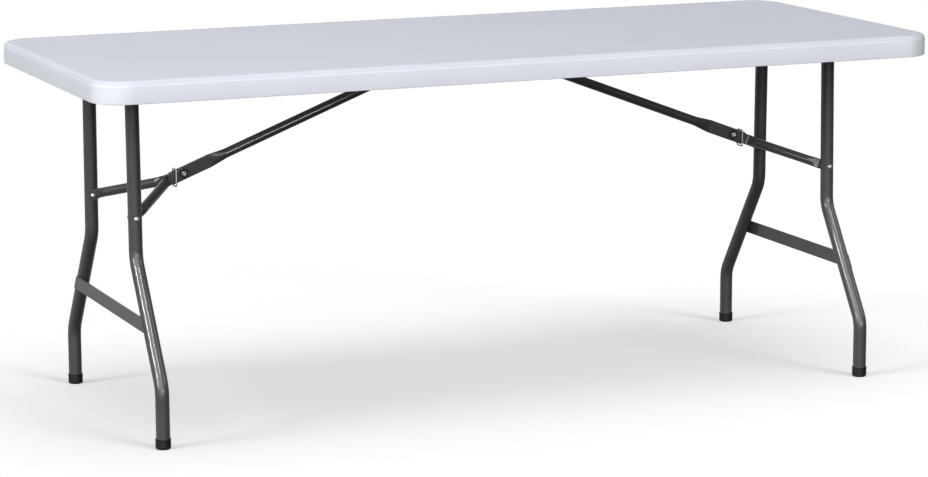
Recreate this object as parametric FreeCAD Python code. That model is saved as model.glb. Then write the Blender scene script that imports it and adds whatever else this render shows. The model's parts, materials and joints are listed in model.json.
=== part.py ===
import FreeCAD, Part
import math
import os

from FreeCAD import Placement, Rotation, Vector

# Folding catering table: a blow-moulded top on two folding leg frames. Each frame is held open by
# a hinged brace whose fork ends on the two legs and whose elbow is locked by a sliding wire ring.
# Frame: origin on the floor under the middle of the top, +X along the length, +Z up.
# The left leg frame stands at -X and the near long side faces -Y. All sizes are in millimetres.

# Table top
table_length = 1830.0
table_width = 760.0
table_height = 740.0
corner_radius = 70.0
top_edge_radius = 12.0
rim_depth = 45.0
rim_width = 24.0
rim_edge_radius = 1.5
deck_thickness = 14.0
deck_root_radius = 5.0

# Wells that tie the lower skin of the deck to the upper one
well_mouth_radius = 15.0
well_floor_radius = 9.0
well_depth = 9.0
well_pitch_x = 110.0
well_pitch_y = 84.0
well_margin = 30.0

# Leg frames
leg_inset = 133.0
leg_diameter = 28.0
leg_wall = 1.2
leg_top_spread = 298.0
leg_knee_spread = 311.0
leg_bend_radius = 62.0
upper_bend_height = 352.0
lower_bend_height = 121.0
pivot_tube_step = 1.0
pivot_tube_wall = 1.5
pivot_stub_diameter = 16.0
pivot_taper_length = 10.0
pivot_end_play = 0.5
pivot_stub_reach = 2.0
cross_brace_height = 236.0
cross_brace_width = 29.0
cross_brace_thickness = 2.5
cross_brace_overhang = 0.5

# Foot caps
foot_cap_wall = 1.3
foot_cap_height = 21.0
foot_cap_floor = 4.0
foot_cap_edge_radius = 4.0
foot_cap_bead = 0.3
foot_cap_bead_height = 4.0

# Rails under the deck and the bushes in them
rail_end_gap = 80.0
rail_width = 19.5
rail_sheet = 1.5
rail_lip = 7.0
rail_bend_radius = 1.0
rail_web_margin = 2.5
rail_to_rim_gap = 1.0
bush_wall = 1.4
bush_flange_width = 3.5
bush_flange_thickness = 2.0
bush_collar_reach = 3.0

# Brace
brace_drop = 273.0
centre_pivot_spacing = 132.0
tube_diameter = 20.0
tube_wall = 1.5
paddle_width = 28.0
paddle_thickness = 3.2
paddle_flat_length = 62.0
paddle_taper_length = 36.0
paddle_past_ring = 3.0
paddle_corner_radius = 6.0
arm_end_reach = 11.0
tongue_width = 23.0
tongue_thickness = 3.0
tongue_past_paddle = 2.5
fork_end_width = 21.0
fork_end_length = 9.0
fork_bend_radius = 8.0
fork_flat_length = 2.0
fork_taper_length = 18.0

# Lock ring
ring_wire = 3.0
ring_height_play = 1.0
ring_corner_radius = 4.0
ring_offset = 20.0

# Centre bracket
bracket_sheet = 2.0
bracket_bend_radius = 1.5
bracket_end_reach = 15.0
bracket_ear_drop = 13.0
bracket_ear_radius = 10.0
bracket_waist_length = 72.0
bracket_waist_depth = 12.0

# Rivets, pins and screws
rivet_diameter = 8.0
rivet_head_diameter = 11.0
rivet_head_height = 3.2
screw_diameter = 4.8
screw_head_diameter = 9.0
screw_head_height = 2.6
screw_crown_diameter = 5.4
screw_depth = 9.0
rail_screw_count = 5
rail_screw_end = 30.0
bracket_screw_spacing = 30.0

# Clearances
fold_clearance = 2.85
rail_clearance = 5.0
push_fit = 0.05
running_fit = 0.1
side_clearance = 0.3
open_pivot_clearance = 0.6
tube_side_clearance = 0.4

# Levels and places worked out from the sizes above
half_length = table_length / 2
half_width = table_width / 2
rim_bottom = table_height - rim_depth
deck_under = table_height - deck_thickness
leg_x = half_length - leg_inset
leg_top_y = leg_top_spread / 2
leg_knee_y = leg_knee_spread / 2
leg_radius = leg_diameter / 2
cap_bore_radius = leg_radius + push_fit
cap_radius = cap_bore_radius + foot_cap_wall
pivot_z = deck_under - cap_radius - foot_cap_bead - fold_clearance
pivot_radius = leg_radius + pivot_tube_step
stub_radius = pivot_stub_diameter / 2
bush_radius = stub_radius + running_fit + bush_wall
rail_bottom = pivot_z - bush_radius - rail_web_margin
rail_outer = half_width - rim_width - deck_root_radius - rail_to_rim_gap
rail_inner = rail_outer - rail_width
foot_y = rail_inner - rail_clearance - cap_radius - foot_cap_bead
rail_half_length = half_length - rail_end_gap
rivet_radius = rivet_diameter / 2
tube_radius = tube_diameter / 2
tongue_y = paddle_thickness / 2 + side_clearance + tongue_thickness / 2
leg_lean = (leg_knee_y - leg_top_y) / (pivot_z - upper_bend_height)
leg_rivet_y = leg_top_y + leg_lean * brace_drop
fork_end_y = leg_rivet_y - leg_radius - open_pivot_clearance - tongue_thickness / 2

# The brace is straight when the leg stands and folds back on itself when the leg lies flat, so its
# two links are half the sum and half the difference of the two distances that they have to span.
pivot_to_pivot = leg_x - centre_pivot_spacing / 2
standing_span = math.hypot(pivot_to_pivot, brace_drop)
folded_span = pivot_to_pivot - brace_drop
arm_length = (standing_span + folded_span) / 2
fork_length = (standing_span - folded_span) / 2
brace_angle = math.degrees(math.atan2(brace_drop, pivot_to_pivot))
fork_rivet_z = pivot_z - brace_drop

# The ring hangs plumb, so it leans against the brace: its upper bar is nearer to the elbow rivet.
ring_half_height = paddle_width / 2 + ring_height_play + ring_wire / 2
ring_lean = ring_half_height * math.tan(math.radians(brace_angle))
paddle_end_length = ring_offset + ring_lean + ring_wire / 2 + paddle_past_ring
tongue_length = paddle_end_length + tongue_past_paddle

# The elbow of the left brace, and the placement that carries a brace drawn along +X from its elbow.
elbow = Vector(
    -leg_x + fork_length * math.cos(math.radians(brace_angle)),
    0,
    fork_rivet_z + fork_length * math.sin(math.radians(brace_angle)),
)
brace_placement = Placement(elbow, Rotation(Vector(0, 1, 0), -brace_angle))

# Cutting tools pass the faces that they cut by this much.
cut_margin = 1.0

# Edges that are nearer than this to a level or a point lie on it.
tolerance = 1e-4

AXIS_X = Vector(1, 0, 0)
AXIS_Y = Vector(0, 1, 0)
AXIS_Z = Vector(0, 0, 1)
ORIGIN = Vector(0, 0, 0)


# Helpers


def rounded_rectangle(length, width, radius, level):
    """Closed wire of a rounded rectangle, flat at one level."""
    x = length / 2 - radius
    y = width / 2 - radius
    slant = radius * math.sqrt(0.5)
    edges = []
    corners = [(x, y, 1, 1), (-x, y, -1, 1), (-x, -y, -1, -1), (x, -y, 1, -1)]
    for index, (cx, cy, sx, sy) in enumerate(corners):
        on_side = Vector(cx + sx * radius, cy, level)
        on_end = Vector(cx, cy + sy * radius, level)
        middle = Vector(cx + sx * slant, cy + sy * slant, level)
        first, last = (on_side, on_end) if index % 2 == 0 else (on_end, on_side)
        if edges:
            edges.append(Part.makeLine(edges[-1].Vertexes[-1].Point, first))
        edges.append(Part.Arc(first, middle, last).toShape())
    edges.append(Part.makeLine(edges[-1].Vertexes[-1].Point, edges[0].Vertexes[0].Point))
    return Part.Wire(edges)


def edges_at_level(shape, level):
    """Edges that lie wholly at one height."""
    return [
        edge
        for edge in shape.Edges
        if abs(edge.BoundBox.ZMin - level) < tolerance and abs(edge.BoundBox.ZMax - level) < tolerance
    ]


def edges_along_x_at(shape, places):
    """Straight edges along X that pass through the given (y, z) places."""
    found = []
    for edge in shape.Edges:
        start, end = edge.Vertexes[0].Point, edge.Vertexes[-1].Point
        if abs(start.y - end.y) > tolerance or abs(start.z - end.z) > tolerance:
            continue
        if any(abs(start.y - y) < tolerance and abs(start.z - z) < tolerance for y, z in places):
            found.append(edge)
    return found


def extrude_polygon(points, direction):
    """Solid from a closed polygon pushed along a direction."""
    face = Part.Face(Part.makePolygon(points + points[:1]))
    return face.extrude(direction)


def revolve_profile(profile, base, axis, across):
    """Solid of revolution from (distance along the axis, radius) points."""
    points = [base + axis * along + across * radius for along, radius in profile]
    face = Part.Face(Part.makePolygon(points + points[:1]))
    return face.revolve(base, axis, 360)


def frustum(lower, upper):
    """Solid with flat faces between two polygons that have the same number of corners."""
    count = len(lower)
    following = [(k + 1) % count for k in range(count)]
    sides = [[lower[k], lower[n], upper[n], upper[k]] for k, n in enumerate(following)]
    outlines = [lower, upper] + sides
    faces = [Part.Face(Part.makePolygon(outline + outline[:1])) for outline in outlines]
    solid = Part.Solid(Part.Shell(faces))
    if solid.Volume < 0:
        solid.reverse()
    return solid


def bent_tube(corners, bend_radius, radius, bore_radius):
    """Round tube, or rod where the bore is zero, along straight runs joined by bends of one radius."""

    def section(centre, direction):
        disc = Part.Face(Part.Wire(Part.makeCircle(radius, centre, direction)))
        if bore_radius <= 0:
            return disc
        hole = Part.Face(Part.Wire(Part.makeCircle(bore_radius, centre, direction)))
        return disc.cut(hole).Faces[0]

    stretches = []
    start = corners[0]
    for before, corner, after in zip(corners, corners[1:], corners[2:]):
        arriving = (corner - before).normalize()
        leaving = (after - corner).normalize()
        turn = arriving.getAngle(leaving)
        tangent = bend_radius * math.tan(turn / 2)
        arc_start = corner - arriving * tangent
        axis = arriving.cross(leaving).normalize()
        centre = arc_start + axis.cross(arriving) * bend_radius
        stretches.append(section(start, arriving).extrude(arc_start - start))
        stretches.append(section(arc_start, arriving).revolve(centre, axis, math.degrees(turn)))
        start = corner + leaving * tangent
    last = (corners[-1] - start)
    stretches.append(section(start, last).extrude(last))
    return stretches[0].fuse(stretches[1:]).removeSplitter()


def cylinder(base, axis, radius, length):
    return Part.makeCylinder(radius, length, base, axis)


def drill(start, axis, radius, depth):
    """Cutting cylinder that passes both ends of a hole by the cut margin."""
    return cylinder(start - axis * cut_margin, axis, radius, depth + 2 * cut_margin)


def mirror_x(shape):
    return shape.mirror(ORIGIN, AXIS_X)


def mirror_y(shape):
    return shape.mirror(ORIGIN, AXIS_Y)


def headed_pin(base, axis, shank_length, end_head, skirt=0.0):
    """Rivet or pin turned about its axis: a domed head at its start and, if asked, one at its end.

    The skirt is a stretch of the head's rim that reaches past its flat seat, along the shank.
    """
    shank = rivet_diameter / 2
    head = rivet_head_diameter / 2
    dome_radius = (head ** 2 + rivet_head_height ** 2) / (2 * rivet_head_height)
    half_angle = math.asin(head / dome_radius) / 2
    dome_depth = dome_radius - rivet_head_height

    def at(along, radius):
        return base + axis * along + AXIS_Z * radius

    start_along = dome_depth - dome_radius * math.cos(half_angle)
    start_middle = at(start_along, dome_radius * math.sin(half_angle))
    edges = [Part.Arc(at(-rivet_head_height, 0), start_middle, at(0, head)).toShape()]
    points = [at(0, head)]
    if skirt > 0:
        points.append(at(skirt, head))
    points += [at(skirt, shank), at(shank_length, shank)]
    if end_head:
        end_along = shank_length - dome_depth + dome_radius * math.cos(half_angle)
        end_middle = at(end_along, dome_radius * math.sin(half_angle))
        tip = at(shank_length + rivet_head_height, 0)
        points.append(at(shank_length, head))
        closing = [Part.Arc(points[-1], end_middle, tip).toShape()]
    else:
        tip = at(shank_length, 0)
        closing = [Part.makeLine(points[-1], tip)]
    edges += [Part.makeLine(first, second) for first, second in zip(points, points[1:])]
    edges += closing
    edges.append(Part.makeLine(tip, at(-rivet_head_height, 0)))
    return Part.Face(Part.Wire(edges)).revolve(base, axis, 360)


# Table top


def well_places():
    """Centres of the wells: staggered rows over the deck, clear of the rails and the bracket."""
    reach_x = half_length - rim_width - deck_root_radius - well_margin
    reach_y = rail_inner - well_margin
    bracket_x = centre_pivot_spacing / 2 + bracket_end_reach + well_margin
    bracket_y = tube_radius + bracket_sheet + well_margin
    rows = int(reach_y // well_pitch_y)
    columns = int(reach_x // well_pitch_x) + 1
    places = []
    for row in range(-rows, rows + 1):
        stagger = well_pitch_x / 2 if row % 2 else 0.0
        for column in range(-columns, columns + 1):
            x = column * well_pitch_x + stagger
            y = row * well_pitch_y
            under_bracket = abs(x) < bracket_x and abs(y) < bracket_y
            if abs(x) <= reach_x and not under_bracket:
                places.append((x, y))
    return places


def make_well():
    """Six-sided tapered well that opens downwards at the underside of the deck."""

    def corners(radius, level):
        angles = [math.radians(60 * k) for k in range(6)]
        return [Vector(radius * math.cos(angle), radius * math.sin(angle), level) for angle in angles]

    mouth = corners(well_mouth_radius, deck_under)
    floor = corners(well_floor_radius, deck_under + well_depth)
    return frustum(mouth, floor)


def rail_screw_places():
    span = rail_half_length - rail_screw_end
    step = 2 * span / (rail_screw_count - 1)
    y = (rail_inner + rail_sheet + rail_outer) / 2
    return [(-span + step * k, side * y) for side in (-1, 1) for k in range(rail_screw_count)]


def bracket_screw_places():
    return [(bracket_screw_spacing * k, 0.0) for k in (-1, 0, 1)]


def make_tabletop():
    outline = rounded_rectangle(table_length, table_width, corner_radius, rim_bottom)
    body = Part.Face(outline).extrude(Vector(0, 0, rim_depth))
    body = body.makeFillet(top_edge_radius, edges_at_level(body, table_height))

    recess_length = table_length - 2 * rim_width
    recess_width = table_width - 2 * rim_width
    mouth = rounded_rectangle(recess_length, recess_width, corner_radius - rim_width, rim_bottom)
    recess = Part.Face(mouth).extrude(Vector(0, 0, deck_under - rim_bottom))
    recess = recess.makeFillet(deck_root_radius, edges_at_level(recess, deck_under))
    body = body.cut(recess)
    body = body.makeFillet(rim_edge_radius, edges_at_level(body, rim_bottom))

    well = make_well()
    wells = Part.makeCompound([well.translated(Vector(x, y, 0)) for x, y in well_places()])
    body = body.cut(wells)

    pilot = screw_diameter / 2 + push_fit
    depth = screw_depth + push_fit
    holes = [
        cylinder(Vector(x, y, deck_under), AXIS_Z, pilot, depth - sheet)
        for places, sheet in ((rail_screw_places(), rail_sheet), (bracket_screw_places(), bracket_sheet))
        for x, y in places
    ]
    return body.cut(Part.makeCompound(holes))


# Rails, bushes and centre bracket


def make_near_rail():
    """Pressed rail: a web that carries the bushes, a flange on the deck and a stiffening lip."""
    inner = -rail_inner
    outer = -rail_outer
    lip = inner - rail_lip
    behind = inner - rail_sheet
    profile = [
        (inner, rail_bottom),
        (lip, rail_bottom),
        (lip, rail_bottom + rail_sheet),
        (behind, rail_bottom + rail_sheet),
        (behind, deck_under - rail_sheet),
        (outer, deck_under - rail_sheet),
        (outer, deck_under),
        (inner, deck_under),
    ]
    points = [Vector(-rail_half_length, y, z) for y, z in profile]
    rail = extrude_polygon(points, Vector(2 * rail_half_length, 0, 0))
    outside = edges_along_x_at(rail, [profile[0], profile[7]])
    rail = rail.makeFillet(rail_bend_radius + rail_sheet, outside)
    inside = edges_along_x_at(rail, [profile[3], profile[4]])
    rail = rail.makeFillet(rail_bend_radius, inside)

    holes = [
        drill(Vector(x, behind, pivot_z), AXIS_Y, bush_radius + push_fit, rail_sheet)
        for x in (-leg_x, leg_x)
    ]
    screw_hole = screw_diameter / 2 + push_fit
    holes += [
        drill(Vector(x, y, deck_under - rail_sheet), AXIS_Z, screw_hole, rail_sheet)
        for x, y in rail_screw_places()
        if y < 0
    ]
    return rail.cut(Part.makeCompound(holes))


def make_near_left_bush():
    """Flanged bush: the flange lies on the web's inner face and the collar passes through it."""
    bore = stub_radius + running_fit
    profile = [
        (-bush_flange_thickness, bore),
        (-bush_flange_thickness, bush_radius + bush_flange_width),
        (0.0, bush_radius + bush_flange_width),
        (0.0, bush_radius),
        (rail_sheet + bush_collar_reach, bush_radius),
        (rail_sheet + bush_collar_reach, bore),
    ]
    return revolve_profile(profile, Vector(-leg_x, -rail_inner, pivot_z), -AXIS_Y, AXIS_Z)


def make_centre_bracket():
    """Pressed channel, open downwards: web on the deck, ears that carry the two arm pins."""
    inside = tube_radius + tube_side_clearance
    outside = inside + bracket_sheet
    web_under = deck_under - bracket_sheet
    ear_bottom = pivot_z - bracket_ear_drop
    half = centre_pivot_spacing / 2 + bracket_end_reach
    profile = [
        (-outside, ear_bottom),
        (-inside, ear_bottom),
        (-inside, web_under),
        (inside, web_under),
        (inside, ear_bottom),
        (outside, ear_bottom),
        (outside, deck_under),
        (-outside, deck_under),
    ]
    points = [Vector(-half, y, z) for y, z in profile]
    bracket = extrude_polygon(points, Vector(2 * half, 0, 0))
    bracket = bracket.makeFillet(
        bracket_bend_radius + bracket_sheet, edges_along_x_at(bracket, [profile[6], profile[7]])
    )
    bracket = bracket.makeFillet(bracket_bend_radius, edges_along_x_at(bracket, [profile[2], profile[3]]))

    waist_bottom = deck_under - bracket_waist_depth
    waist = Part.makeBox(
        bracket_waist_length,
        2 * (outside + cut_margin),
        waist_bottom - ear_bottom + cut_margin,
        Vector(-bracket_waist_length / 2, -outside - cut_margin, ear_bottom - cut_margin),
    )
    bracket = bracket.cut(waist)
    ear_edges = edges_at_level(bracket, ear_bottom)
    corners = [edge for edge in ear_edges if edge.BoundBox.XLength < bracket_sheet]
    bracket = bracket.makeFillet(bracket_ear_radius, corners)

    holes = [
        drill(Vector(x, -outside, pivot_z), AXIS_Y, rivet_radius + push_fit, 2 * outside)
        for x in (-centre_pivot_spacing / 2, centre_pivot_spacing / 2)
    ]
    holes += [
        drill(Vector(x, y, web_under), AXIS_Z, screw_diameter / 2 + push_fit, bracket_sheet)
        for x, y in bracket_screw_places()
    ]
    return bracket.cut(Part.makeCompound(holes))


def make_left_arm_pin():
    """Pin of the brace arm, with a domed head outside each ear of the centre bracket."""
    outside = tube_radius + tube_side_clearance + bracket_sheet
    base = Vector(-centre_pivot_spacing / 2, -outside, pivot_z)
    return headed_pin(base, AXIS_Y, 2 * outside, True)


def make_screws(places, sheet):
    """Pan-head screws driven up through a sheet into the deck, one solid each."""
    head_bottom = -sheet - screw_head_height
    profile = [
        (head_bottom, 0.0),
        (head_bottom, screw_crown_diameter / 2),
        (-sheet, screw_head_diameter / 2),
        (-sheet, screw_diameter / 2),
        (screw_depth - sheet, screw_diameter / 2),
        (screw_depth - sheet, 0.0),
    ]
    screw = revolve_profile(profile, Vector(0, 0, deck_under), AXIS_Z, AXIS_X)
    return Part.makeCompound([screw.translated(Vector(x, y, 0)) for x, y in places])


# Leg frames


def leg_corners():
    """Centre line of the near left leg: down, outwards between two bends, and down into its cap.

    The upper stretch leans out a little from the pivot tube to the first bend.
    """
    return [
        Vector(-leg_x, -leg_top_y, pivot_z),
        Vector(-leg_x, -leg_knee_y, upper_bend_height),
        Vector(-leg_x, -foot_y, lower_bend_height),
        Vector(-leg_x, -foot_y, foot_cap_floor),
    ]


def leg_rivet_axis_start():
    """Outer end of the leg rivet's shank, on the outermost line of the near left leg."""
    return Vector(-leg_x, -leg_rivet_y - leg_radius, fork_rivet_z)


def make_near_left_leg():
    tube = bent_tube(leg_corners(), leg_bend_radius, leg_radius, leg_radius - leg_wall)
    saddle = cylinder(Vector(-leg_x, -half_width, pivot_z), AXIS_Y, pivot_radius, table_width)
    rivet_hole = drill(leg_rivet_axis_start(), AXIS_Y, rivet_radius + push_fit, leg_diameter)
    return tube.cut(saddle).cut(rivet_hole)


def make_near_left_rivet():
    """Leg rivet: a domed head seated round the leg's outer side, and its shank through the leg."""
    base = leg_rivet_axis_start()
    seat_depth = leg_radius - math.sqrt(leg_radius ** 2 - (rivet_head_diameter / 2) ** 2)
    rivet = headed_pin(base, AXIS_Y, leg_diameter, False, seat_depth)
    top, knee = leg_corners()[:2]
    leg = cylinder(top, (knee - top).normalize(), leg_radius, (knee - top).Length)
    return rivet.cut(leg.cut(cylinder(base, AXIS_Y, rivet_radius + push_fit, leg_diameter)))


def make_left_pivot_tube():
    """Cross tube of the leg frame: its ends are swaged down to stubs that turn in the bushes."""
    shoulder = rail_inner - bush_flange_thickness - pivot_end_play
    stub_end = rail_inner + rail_sheet + bush_collar_reach + pivot_stub_reach
    body_end = shoulder - pivot_taper_length
    bore = pivot_radius - pivot_tube_wall
    stub_bore = stub_radius - pivot_tube_wall
    profile = [
        (-stub_end, stub_radius),
        (-shoulder, stub_radius),
        (-body_end, pivot_radius),
        (body_end, pivot_radius),
        (shoulder, stub_radius),
        (stub_end, stub_radius),
        (stub_end, stub_bore),
        (shoulder, stub_bore),
        (body_end, bore),
        (-body_end, bore),
        (-shoulder, stub_bore),
        (-stub_end, stub_bore),
    ]
    return revolve_profile(profile, Vector(-leg_x, 0, pivot_z), AXIS_Y, AXIS_Z)


def make_left_cross_brace():
    """Flat bar across the outer side of both legs, with its ends cut along the slope of the legs."""
    slope = (foot_y - leg_knee_y) / (upper_bend_height - lower_bend_height)
    leg_centre_y = leg_knee_y + slope * (upper_bend_height - cross_brace_height)
    middle_y = leg_centre_y + cross_brace_overhang
    rise = cross_brace_width / 2
    outline = [
        (middle_y + slope * rise, -rise),
        (middle_y - slope * rise, rise),
        (-middle_y + slope * rise, rise),
        (-middle_y - slope * rise, -rise),
    ]
    outer_x = -leg_x - leg_radius - cross_brace_thickness
    points = [Vector(outer_x, y, cross_brace_height + z) for y, z in outline]
    return extrude_polygon(points, Vector(cross_brace_thickness, 0, 0))


def make_near_left_foot_cap():
    """Push-on cap: a cup with a rounded lower edge and a thicker bead round its mouth."""
    edge = foot_cap_edge_radius
    bead_bottom = foot_cap_height - foot_cap_bead_height
    profile = [
        (0.0, 0.0),
        (0.0, cap_radius),
        (bead_bottom, cap_radius),
        (bead_bottom + foot_cap_bead, cap_radius + foot_cap_bead),
        (foot_cap_height - foot_cap_bead, cap_radius + foot_cap_bead),
        (foot_cap_height, cap_radius),
        (foot_cap_height, cap_bore_radius),
        (foot_cap_floor, cap_bore_radius),
        (foot_cap_floor, 0.0),
    ]
    cap = revolve_profile(profile, Vector(-leg_x, -foot_y, 0), AXIS_Z, AXIS_X)
    return cap.makeFillet(edge, edges_at_level(cap, 0.0))


# Brace, drawn with its elbow at the origin, the arm along +X and the fork along -X


def flat_section(centre, thin, wide, half_thickness, half_width):
    """Section of a flattened tube: two flats joined by half-round edges."""
    straight = half_width - half_thickness
    corners = [
        centre - thin * half_thickness - wide * straight,
        centre - thin * half_thickness + wide * straight,
        centre + thin * half_thickness + wide * straight,
        centre + thin * half_thickness - wide * straight,
    ]
    return Part.Wire(
        [
            Part.makeLine(corners[0], corners[1]),
            Part.Arc(corners[1], centre + wide * half_width, corners[2]).toShape(),
            Part.makeLine(corners[2], corners[3]),
            Part.Arc(corners[3], centre - wide * half_width, corners[0]).toShape(),
        ]
    )


def round_section(centre, thin, wide, radius):
    """Section of the round tube, cut into the same four stretches as a flattened one."""
    edge_half_angle = math.radians(25)
    across = radius * math.sin(edge_half_angle)
    along = radius * math.cos(edge_half_angle)
    corners = [
        centre - thin * across - wide * along,
        centre - thin * across + wide * along,
        centre + thin * across + wide * along,
        centre + thin * across - wide * along,
    ]
    reach = [-thin, wide, thin, -wide]
    middles = [centre + direction * radius for direction in reach]
    arcs = [Part.Arc(corners[k], middles[k], corners[(k + 1) % 4]).toShape() for k in range(4)]
    return Part.Wire(arcs)


def make_brace_arm():
    """Arm: a tube flattened to a paddle at the elbow and drilled for its pin at the other end."""
    half_paddle = paddle_width / 2
    paddle_section = flat_section(
        Vector(-paddle_end_length, 0, 0), AXIS_Y, AXIS_Z, paddle_thickness / 2, half_paddle
    )
    paddle = Part.Face(paddle_section).extrude(Vector(paddle_end_length + paddle_flat_length, 0, 0))
    end_corners = []
    for side in (-1, 1):
        corner = Vector(-paddle_end_length, -paddle_thickness, side * half_paddle)
        block = Part.makeBox(paddle_corner_radius, 2 * paddle_thickness, paddle_corner_radius, corner)
        if side > 0:
            block.translate(Vector(0, 0, -paddle_corner_radius))
        centre = corner + Vector(paddle_corner_radius, 0, -side * paddle_corner_radius)
        rounding = cylinder(centre, AXIS_Y, paddle_corner_radius, 2 * paddle_thickness)
        end_corners.append(block.cut(rounding))
    paddle = paddle.cut(Part.makeCompound(end_corners))

    tube_start = paddle_flat_length + paddle_taper_length
    flat_end = Vector(paddle_flat_length, 0, 0)
    paddle_end = flat_section(flat_end, AXIS_Y, AXIS_Z, paddle_thickness / 2, half_paddle)
    tube_mouth = round_section(Vector(tube_start, 0, 0), AXIS_Y, AXIS_Z, tube_radius)
    taper = Part.makeLoft([paddle_end, tube_mouth], True, True)
    tube_length = arm_length + arm_end_reach - tube_start
    tube = Part.Face(tube_mouth).extrude(AXIS_X * tube_length)
    bore = cylinder(Vector(tube_start, 0, 0), AXIS_X, tube_radius - tube_wall, tube_length)
    arm = paddle.fuse([taper, tube.cut(bore)]).removeSplitter()

    pin_start = Vector(arm_length, -tube_radius, 0)
    pin_hole = drill(pin_start, AXIS_Y, rivet_radius + running_fit, tube_diameter)
    rivet_hole = drill(Vector(0, -tube_radius, 0), AXIS_Y, rivet_radius + push_fit, tube_diameter)
    return arm.cut(pin_hole).cut(rivet_hole)


def make_elbow_rivet():
    """Rivet through both tongues and the paddle, with a domed head on each side."""
    outside = tongue_y + tongue_thickness / 2 + side_clearance
    return headed_pin(Vector(0, -outside, 0), AXIS_Y, 2 * outside, True)


def half_disc(base, radius, thickness, side):
    """Rounded tip of a flattened end: half a disc, standing on the +X or -X side of its base."""
    rim = base + AXIS_X * (side * radius)
    outline = [
        Part.Arc(base - AXIS_Z * radius, rim, base + AXIS_Z * radius).toShape(),
        Part.makeLine(base + AXIS_Z * radius, base - AXIS_Z * radius),
    ]
    return Part.Face(Part.Wire(outline)).extrude(AXIS_Y * thickness)


def make_far_fork_arm():
    """Fork arm: a round tube, flattened at both ends, that is bent out from the elbow to its leg."""
    half_thickness = tongue_thickness / 2
    half_tongue = tongue_width / 2
    half_end = fork_end_width / 2
    start = Vector(-tongue_length, tongue_y, 0)
    finish = Vector(-(fork_length - fork_end_length), fork_end_y, 0)

    # Both bends have one radius, and the straight tube between them is their inner tangent.
    first_centre = start + AXIS_Y * fork_bend_radius
    last_centre = finish - AXIS_Y * fork_bend_radius
    between = last_centre - first_centre
    turn = math.atan2(between.y, -between.x) + math.asin(2 * fork_bend_radius / between.Length)
    along = Vector(-math.cos(turn), math.sin(turn), 0)
    across = Vector(math.sin(turn), math.cos(turn), 0)
    run_start = first_centre - across * fork_bend_radius
    run_end = last_centre + across * fork_bend_radius

    tongue = Part.Face(flat_section(start, AXIS_Y, AXIS_Z, half_thickness, half_tongue)).extrude(
        AXIS_X * tongue_length
    )
    tongue_tip = half_disc(Vector(0, tongue_y - half_thickness, 0), half_tongue, tongue_thickness, 1)
    first_bend = Part.Face(flat_section(start, AXIS_Y, AXIS_Z, half_thickness, half_tongue)).revolve(
        first_centre, AXIS_Z, -math.degrees(turn)
    )

    flat_out = run_start + along * fork_flat_length
    round_out = flat_out + along * fork_taper_length
    flat_in = run_end - along * fork_flat_length
    round_in = flat_in - along * fork_taper_length
    first_flat = Part.Face(flat_section(run_start, across, AXIS_Z, half_thickness, half_tongue)).extrude(
        flat_out - run_start
    )
    opening_taper = Part.makeLoft(
        [
            flat_section(flat_out, across, AXIS_Z, half_thickness, half_tongue),
            round_section(round_out, across, AXIS_Z, tube_radius),
        ],
        True,
        True,
    )
    tube = Part.Face(round_section(round_out, across, AXIS_Z, tube_radius)).extrude(round_in - round_out)
    closing_taper = Part.makeLoft(
        [
            round_section(round_in, across, AXIS_Z, tube_radius),
            flat_section(flat_in, across, AXIS_Z, half_thickness, half_end),
        ],
        True,
        True,
    )
    last_flat = Part.Face(flat_section(flat_in, across, AXIS_Z, half_thickness, half_end)).extrude(
        run_end - flat_in
    )
    last_bend = Part.Face(flat_section(finish, AXIS_Y, AXIS_Z, half_thickness, half_end)).revolve(
        last_centre, AXIS_Z, -math.degrees(turn)
    )
    end_flat = Part.Face(flat_section(finish, AXIS_Y, AXIS_Z, half_thickness, half_end)).extrude(
        -AXIS_X * fork_end_length
    )
    end_tip = half_disc(
        Vector(-fork_length, fork_end_y - half_thickness, 0), half_end, tongue_thickness, -1
    )
    stretches = [tongue_tip, first_bend, first_flat, opening_taper, tube]
    stretches += [closing_taper, last_flat, last_bend, end_flat, end_tip]
    arm = tongue.fuse(stretches).removeSplitter()

    elbow_start = Vector(0, tongue_y - half_thickness, 0)
    elbow_hole = drill(elbow_start, AXIS_Y, rivet_radius + running_fit, tongue_thickness)
    end_start = Vector(-fork_length, fork_end_y - half_thickness, 0)
    end_hole = drill(end_start, AXIS_Y, rivet_radius + push_fit, tongue_thickness)
    return arm.cut(elbow_hole).cut(end_hole)


def make_far_fork_rivet_head():
    """Inner head of the leg rivet, with the stretch of shank that sits in the fork end."""
    base = Vector(-fork_length, fork_end_y - tongue_thickness / 2, 0)
    return headed_pin(base, AXIS_Y, tongue_thickness, False)


def make_lock_ring():
    """Wire ring round the elbow: it hangs plumb on the upper edge of the paddle."""
    half_depth = tube_radius + tube_side_clearance + ring_wire / 2
    drop = ring_height_play - side_clearance
    corners = [(0, 1), (1, 1), (1, -1), (-1, -1), (-1, 1), (0, 1)]
    loop = [
        Vector(-ring_offset + z * ring_lean, y * half_depth, z * ring_half_height - drop)
        for y, z in corners
    ]
    return bent_tube(loop, ring_corner_radius, ring_wire / 2, 0.0)


# Assembly


def make_top_nodes():
    near_rail = make_near_rail()
    bush = make_near_left_bush()
    pin = make_left_arm_pin()
    return {
        "tabletop": make_tabletop(),
        "rail_near": near_rail,
        "rail_far": mirror_y(near_rail),
        "pivot_bush_left_near": bush,
        "pivot_bush_left_far": mirror_y(bush),
        "pivot_bush_right_near": mirror_x(bush),
        "pivot_bush_right_far": mirror_x(mirror_y(bush)),
        "centre_bracket": make_centre_bracket(),
        "arm_pin_left": pin,
        "arm_pin_right": mirror_x(pin),
        "rail_screws": make_screws(rail_screw_places(), rail_sheet),
        "bracket_screws": make_screws(bracket_screw_places(), bracket_sheet),
    }


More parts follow.
